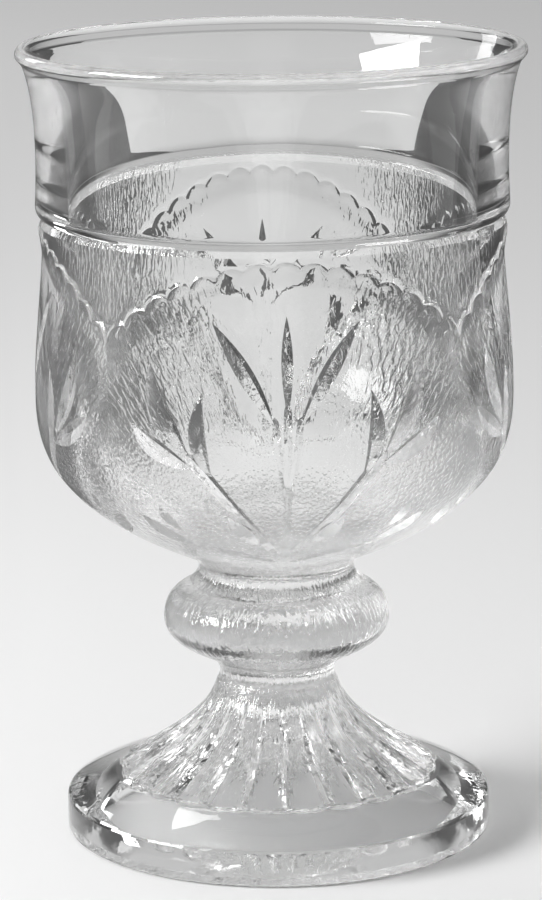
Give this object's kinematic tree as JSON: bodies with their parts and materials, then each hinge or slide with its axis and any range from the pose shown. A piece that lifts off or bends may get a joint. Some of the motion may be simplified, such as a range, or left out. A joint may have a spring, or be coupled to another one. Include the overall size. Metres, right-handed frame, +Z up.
{
  "type": "water goblet",
  "caption": "Stemmed water goblet of clear pressed glass: patterned round bowl under a plain flared band, knop stem, fluted skirt and thick plain foot.",
  "frame": {"origin": "centre of the foot's resting ring, on the table", "axes": "+Z up along the goblet's axis; +X to the right of the pictured view, which looks along +Y"},
  "size_m": [0.09, 0.09, 0.1425],
  "materials": {
    "plain_glass": "clear, fire polished, smooth",
    "bark_glass": "clear, fine pressed bark texture",
    "patterned_glass": "clear, pressed leaf sprays in scalloped arches on a bark ground"
  },
  "bodies": {
    "root": {"foot_plate": "plain_glass", "foot_skirt": "bark_glass", "stem_neck": "bark_glass", "knop": "bark_glass", "stem_collar": "bark_glass", "bowl": "patterned_glass", "drinking_band": "plain_glass", "rim_lip": "plain_glass"}
  },
  "joints": []
}
